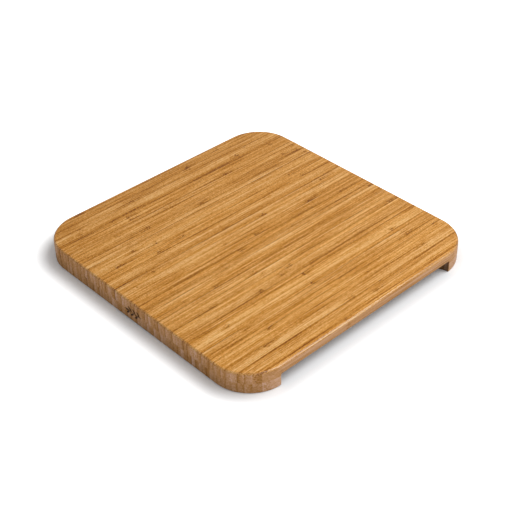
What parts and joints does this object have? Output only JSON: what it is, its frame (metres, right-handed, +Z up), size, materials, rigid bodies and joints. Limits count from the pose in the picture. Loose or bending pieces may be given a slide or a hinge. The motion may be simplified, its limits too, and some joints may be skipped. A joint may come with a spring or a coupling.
{
  "type": "cutting board",
  "caption": "Square bamboo cutting board of two glued layers of staves, with rounded corners, a softened rim and a wide finger recess under two opposite sides.",
  "frame": {"origin": "middle of the underside, on the surface that the board rests on", "axes": "+X along the grain, +Y across the grain, +Z up out of the work surface"},
  "size_m": [0.4, 0.405, 0.03],
  "materials": {
    "bamboo_top": "oiled, fine-sanded side-pressed bamboo",
    "bamboo_base": "oiled, fine-sanded side-pressed bamboo"
  },
  "bodies": {
    "root": {"top_stave_01": "bamboo_top", "top_stave_02": "bamboo_top", "top_stave_03": "bamboo_top", "top_stave_04": "bamboo_top", "top_stave_05": "bamboo_top", "top_stave_06": "bamboo_top", "top_stave_07": "bamboo_top", "top_stave_08": "bamboo_top", "top_stave_09": "bamboo_top", "top_stave_10": "bamboo_top", "top_stave_11": "bamboo_top", "top_stave_12": "bamboo_top", "top_stave_13": "bamboo_top", "top_stave_14": "bamboo_top", "top_stave_15": "bamboo_top", "top_stave_16": "bamboo_top", "top_stave_17": "bamboo_top", "top_stave_18": "bamboo_top", "top_stave_19": "bamboo_top", "top_stave_20": "bamboo_top", "top_stave_21": "bamboo_top", "base_stave_01_left": "bamboo_base", "base_stave_01_right": "bamboo_base", "base_stave_02": "bamboo_base", "base_stave_03": "bamboo_base", "base_stave_04": "bamboo_base", "base_stave_05": "bamboo_base", "base_stave_06": "bamboo_base", "base_stave_07": "bamboo_base", "base_stave_08": "bamboo_base", "base_stave_09": "bamboo_base", "base_stave_10": "bamboo_base", "base_stave_11": "bamboo_base", "base_stave_12": "bamboo_base", "base_stave_13": "bamboo_base", "base_stave_14": "bamboo_base", "base_stave_15": "bamboo_base", "base_stave_16": "bamboo_base", "base_stave_17": "bamboo_base", "base_stave_18": "bamboo_base", "base_stave_19": "bamboo_base", "base_stave_20": "bamboo_base", "base_stave_21": "bamboo_base", "base_stave_22_left": "bamboo_base", "base_stave_22_right": "bamboo_base"}
  },
  "joints": []
}
